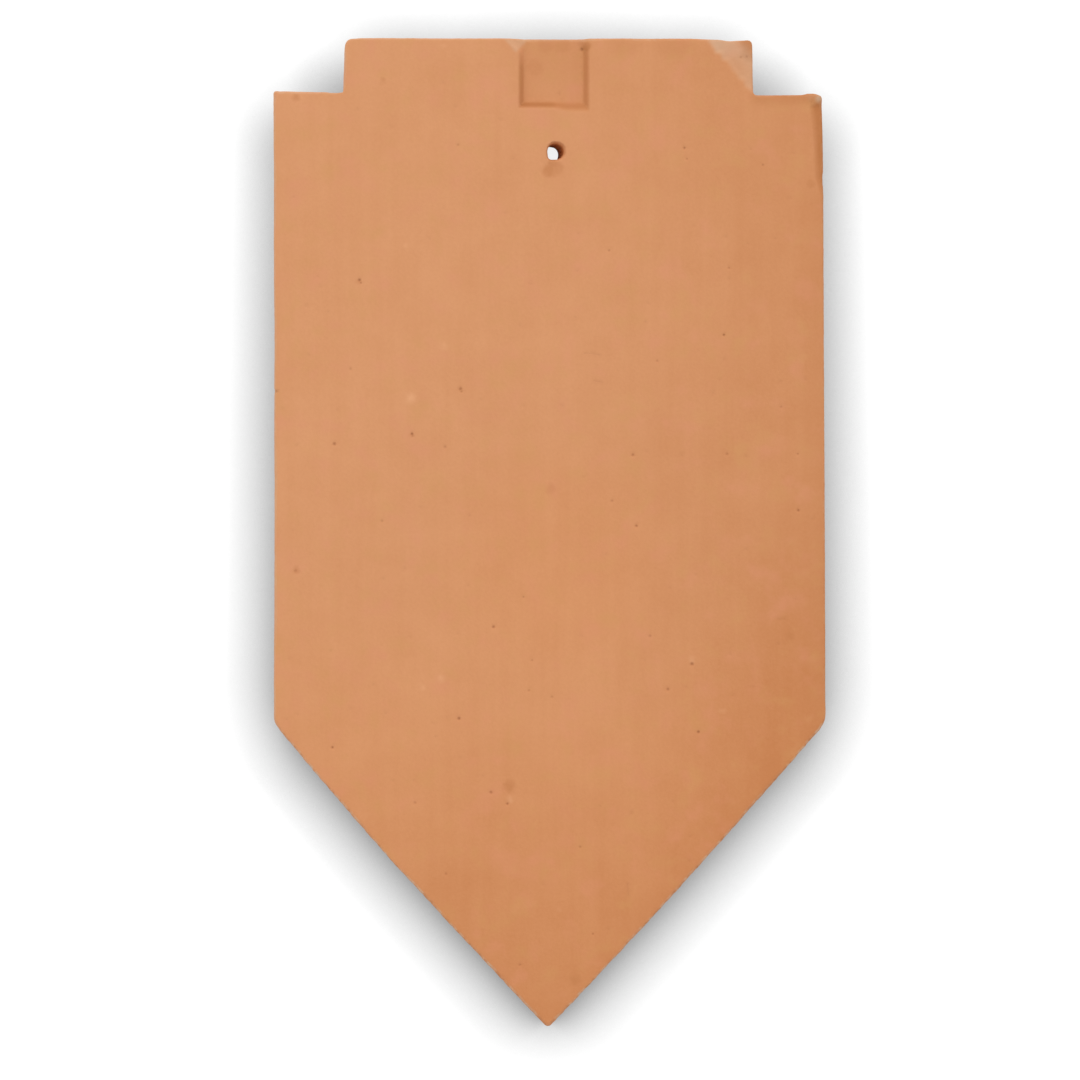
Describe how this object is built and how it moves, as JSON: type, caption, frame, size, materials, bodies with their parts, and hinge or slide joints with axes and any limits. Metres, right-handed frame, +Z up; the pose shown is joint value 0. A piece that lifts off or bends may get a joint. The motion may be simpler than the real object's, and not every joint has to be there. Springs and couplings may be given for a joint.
{
  "type": "clay roof tile",
  "caption": "Flat fired-clay roof tile with shouldered head corners, a pointed tail, a nail hole and a batten nib pushed out of its back.",
  "frame": {"origin": "middle of the tile's footprint, on the floor that it lies on", "axes": "+Z up, +Y towards the head of the tile, +X to the right seen from above, weather face up"},
  "size_m": [0.165, 0.2962, 0.0226],
  "materials": {
    "fired_clay": "unglazed matt terracotta, fine-grained, with small pinholes"
  },
  "bodies": {
    "root": {"roof_tile": "fired_clay"}
  },
  "joints": []
}
